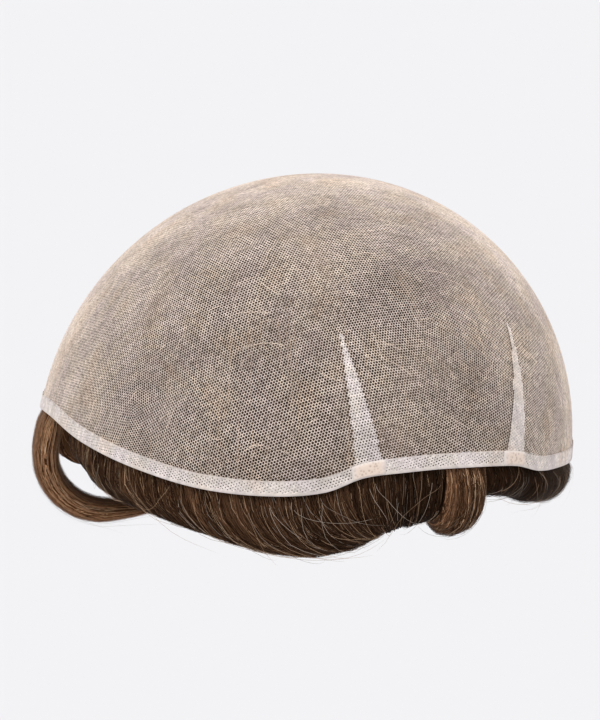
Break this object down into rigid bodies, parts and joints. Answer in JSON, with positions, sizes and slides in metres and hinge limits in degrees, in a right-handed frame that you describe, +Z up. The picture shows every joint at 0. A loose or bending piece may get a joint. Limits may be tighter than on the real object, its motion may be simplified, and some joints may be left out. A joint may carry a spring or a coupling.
{
  "type": "toupee hairpiece",
  "caption": "Full-lace toupee turned inside out: a lace dome with a folded hem, sewn darts and skin-toned patches, brown hair inside it with locks hooking under the rim.",
  "frame": {"origin": "where the crown of a head holds the hairpiece up: the highest point inside the hair bed", "axes": "+Z up, -Y towards the front hairline, +Y towards the back darts, +X towards the wearer's left"},
  "size_m": [0.1582, 0.1952, 0.1101],
  "materials": {
    "lace": "fine beige net, soft sheen at grazing angles",
    "folded_lace": "doubled net, nearly opaque, off-white",
    "skin_patch": "smooth skin-toned patch",
    "hair": "brown hair with a few light strands, satin gloss"
  },
  "bodies": {
    "root": {"lace_cap": "lace", "hem_band": "folded_lace", "dart_left": "folded_lace", "dart_right": "folded_lace", "dart_patch_left": "skin_patch", "dart_patch_right": "skin_patch", "hair": "hair"}
  },
  "joints": []
}
